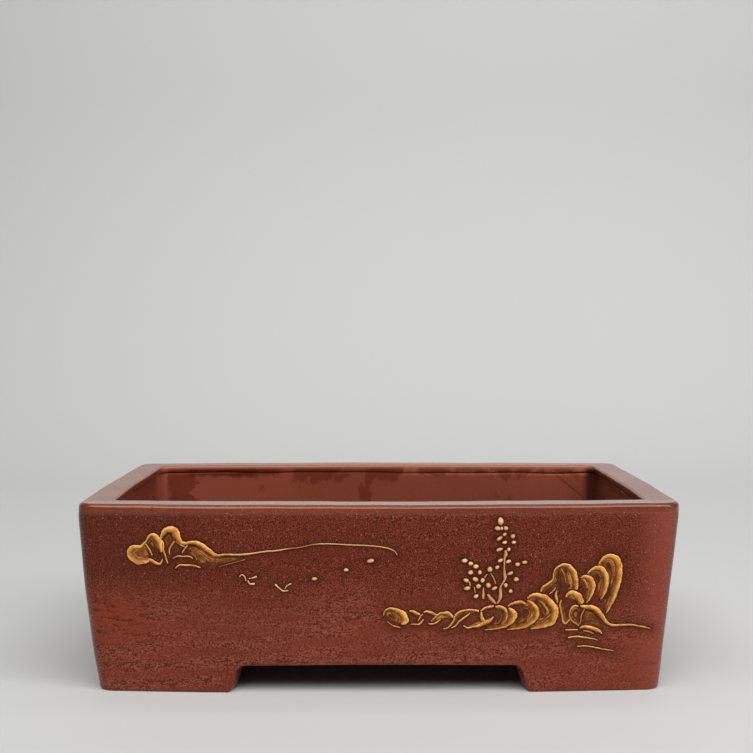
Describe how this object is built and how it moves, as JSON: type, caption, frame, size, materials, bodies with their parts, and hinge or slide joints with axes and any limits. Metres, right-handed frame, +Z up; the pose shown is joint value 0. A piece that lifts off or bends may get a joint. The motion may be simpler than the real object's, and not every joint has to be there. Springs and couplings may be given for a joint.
{
  "type": "bonsai pot",
  "caption": "Rectangular unglazed red-brown stoneware bonsai pot with a flat overhanging rim, bracket feet and a landscape trailed in ochre slip on its front.",
  "frame": {"origin": "on the ground under the middle of the pot", "axes": "+X along the pot's length to the right as seen from the front, front wall with the drawing towards -Y, +Z up out of the mouth"},
  "size_m": [0.3017, 0.1948, 0.095],
  "materials": {
    "red_brown_clay": "unglazed, burnished satin with fine mottled grain",
    "gold_slip": "satin raised ochre slip",
    "pale_slip": "satin raised cream-ochre slip"
  },
  "bodies": {
    "root": {"front_wall": "red_brown_clay", "right_wall": "red_brown_clay", "back_wall": "red_brown_clay", "left_wall": "red_brown_clay", "floor_slab": "red_brown_clay", "rim_front": "red_brown_clay", "rim_right": "red_brown_clay", "rim_back": "red_brown_clay", "rim_left": "red_brown_clay", "foot_front_right": "red_brown_clay", "foot_back_right": "red_brown_clay", "foot_back_left": "red_brown_clay", "foot_front_left": "red_brown_clay", "left_mound": "gold_slip", "left_hill": "gold_slip", "left_peak": "gold_slip", "shore_line": "gold_slip", "left_ripples": "gold_slip", "near_bird": "pale_slip", "far_bird": "pale_slip", "distant_birds": "pale_slip", "rock_1": "gold_slip", "rock_2": "gold_slip", "rock_3": "gold_slip", "rock_4": "gold_slip", "rock_5": "gold_slip", "rock_6": "gold_slip", "rock_7": "gold_slip", "rock_8": "gold_slip", "rock_9": "gold_slip", "centre_peak": "gold_slip", "knob": "gold_slip", "round_stone": "gold_slip", "boulder": "gold_slip", "right_ripples": "gold_slip", "peak_a": "gold_slip", "peak_b": "gold_slip", "peak_c": "gold_slip", "tree_trunk": "pale_slip", "tree_branches": "pale_slip", "tree_leaves": "pale_slip"}
  },
  "joints": []
}
